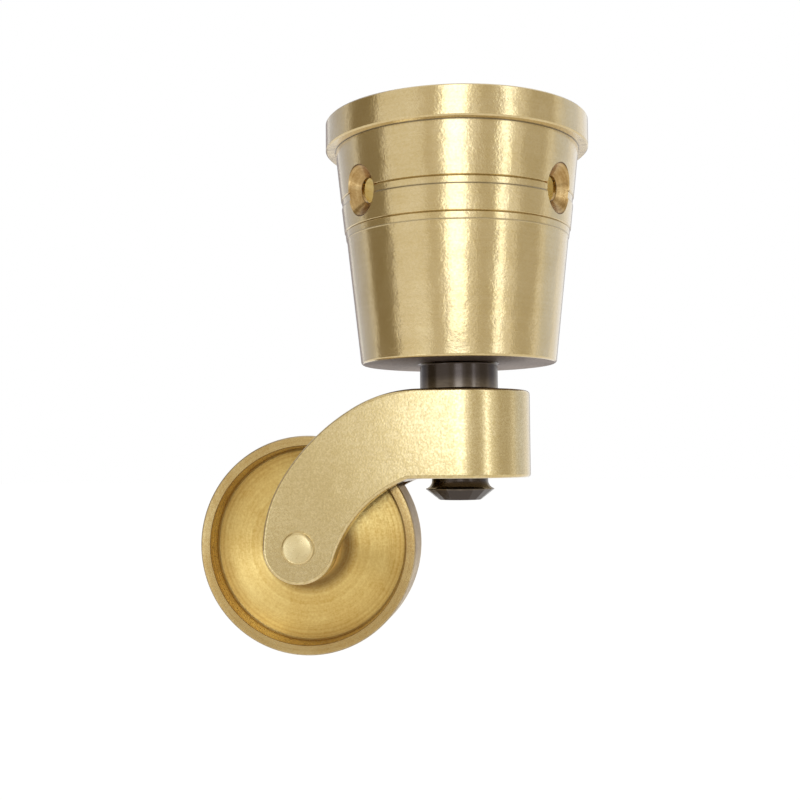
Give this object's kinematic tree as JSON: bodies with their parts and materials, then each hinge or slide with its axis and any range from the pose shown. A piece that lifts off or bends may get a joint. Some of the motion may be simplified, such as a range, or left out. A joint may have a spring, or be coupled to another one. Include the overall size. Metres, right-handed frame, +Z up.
{
  "type": "cup castor",
  "caption": "Tapered brass cup for a furniture leg on a swivelling cast fork, with a dished solid wheel and countersunk screw holes in the cup.",
  "frame": {"origin": "centre of the cup's mouth, on the swivel axis", "axes": "+Z up the swivel axis towards the furniture leg; the wheel trails towards -X at rest; the axle lies along Y"},
  "size_m": [0.0577, 0.039, 0.0784],
  "materials": {
    "cup_brass": "satin turned",
    "spindle_steel": "oil blackened",
    "horn_brass": "satin brushed casting",
    "wheel_brass": "bright turned",
    "axle_brass": "satin rivet"
  },
  "bodies": {
    "cup": {"cup": "cup_brass", "spindle": "spindle_steel"},
    "horn": {"horn": "horn_brass", "axle": "axle_brass"},
    "wheel": {"wheel": "wheel_brass"}
  },
  "joints": [
    {"name": "swivel", "type": "hinge", "parent": "cup", "child": "horn", "pos_m": [0, 0, -0.0401], "axis": [0, 0, 1], "continuous": true},
    {"name": "wheel_spin", "type": "hinge", "parent": "horn", "child": "wheel", "pos_m": [-0.0222, 0, -0.0624], "axis": [0, 1, 0], "continuous": true}
  ]
}
